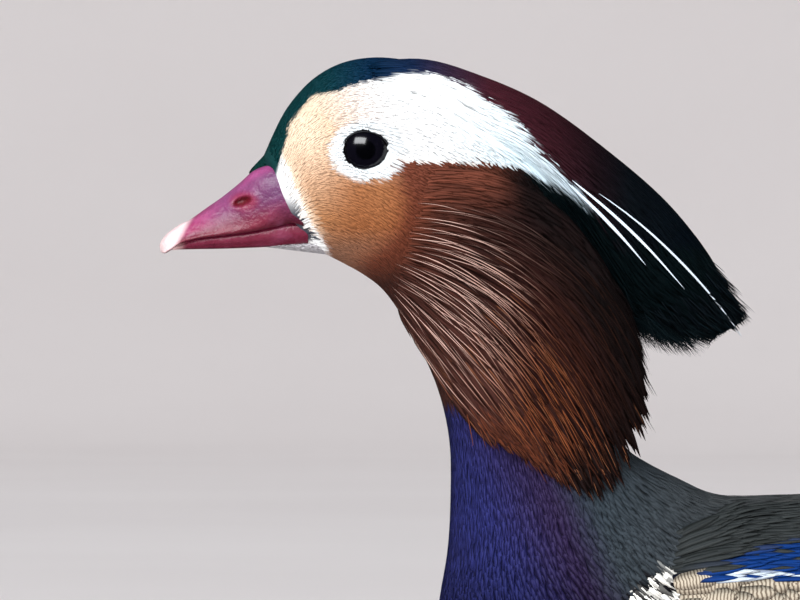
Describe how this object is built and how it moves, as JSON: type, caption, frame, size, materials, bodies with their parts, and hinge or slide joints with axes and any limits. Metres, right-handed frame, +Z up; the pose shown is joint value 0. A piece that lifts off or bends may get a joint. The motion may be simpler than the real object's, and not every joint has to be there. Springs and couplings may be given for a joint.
{
  "type": "mandarin duck",
  "caption": "Life-size standing drake duck with a swept-back crest, cheek ruff, upright sail feathers and webbed feet, as a still display model.",
  "frame": {"origin": "on the floor under the middle of the whole bird's bounding box", "axes": "+Z up, the bill points towards -X and the bird's left side faces -Y"},
  "size_m": [0.3859, 0.1134, 0.2645],
  "materials": {
    "breast": "glossy purple-brown breast plumage over a white belly",
    "neck": "chestnut neck plumage",
    "face": "short face plumage, white brow and ring, buff to orange-brown cheek",
    "bill": "horn, red with a pale pink nail",
    "crest": "long iridescent green, blue and maroon crest feathers with white plumes",
    "tail": "dark olive-brown tail feathers with a green gloss",
    "eye": "wet, nearly black brown",
    "ruff": "chestnut hackles with pale shafts",
    "scapulars": "dark shoulder feathers with blue and white edges",
    "wing": "grey-brown flight feathers with silvery edges and blue-green ends",
    "sail": "upright orange sail feathers with a pale edge",
    "flank": "finely barred golden-buff flank feathers",
    "leg": "scaly dull orange-yellow skin, feathered thigh",
    "foot": "scaly dull orange toes, dark webs and claws"
  },
  "bodies": {
    "root": {"torso": "breast", "neck": "neck", "head": "face", "bill_upper": "bill", "bill_lower": "bill", "crest": "crest", "tail": "tail", "eye_left": "eye", "ruff_left": "ruff", "scapulars_left": "scapulars", "wing_left": "wing", "flank_left": "flank", "thigh_left": "leg", "shank_left": "leg", "foot_left": "foot", "eye_right": "eye", "ruff_right": "ruff", "scapulars_right": "scapulars", "wing_right": "wing", "flank_right": "flank", "thigh_right": "leg", "shank_right": "leg", "foot_right": "foot"}
  },
  "joints": []
}
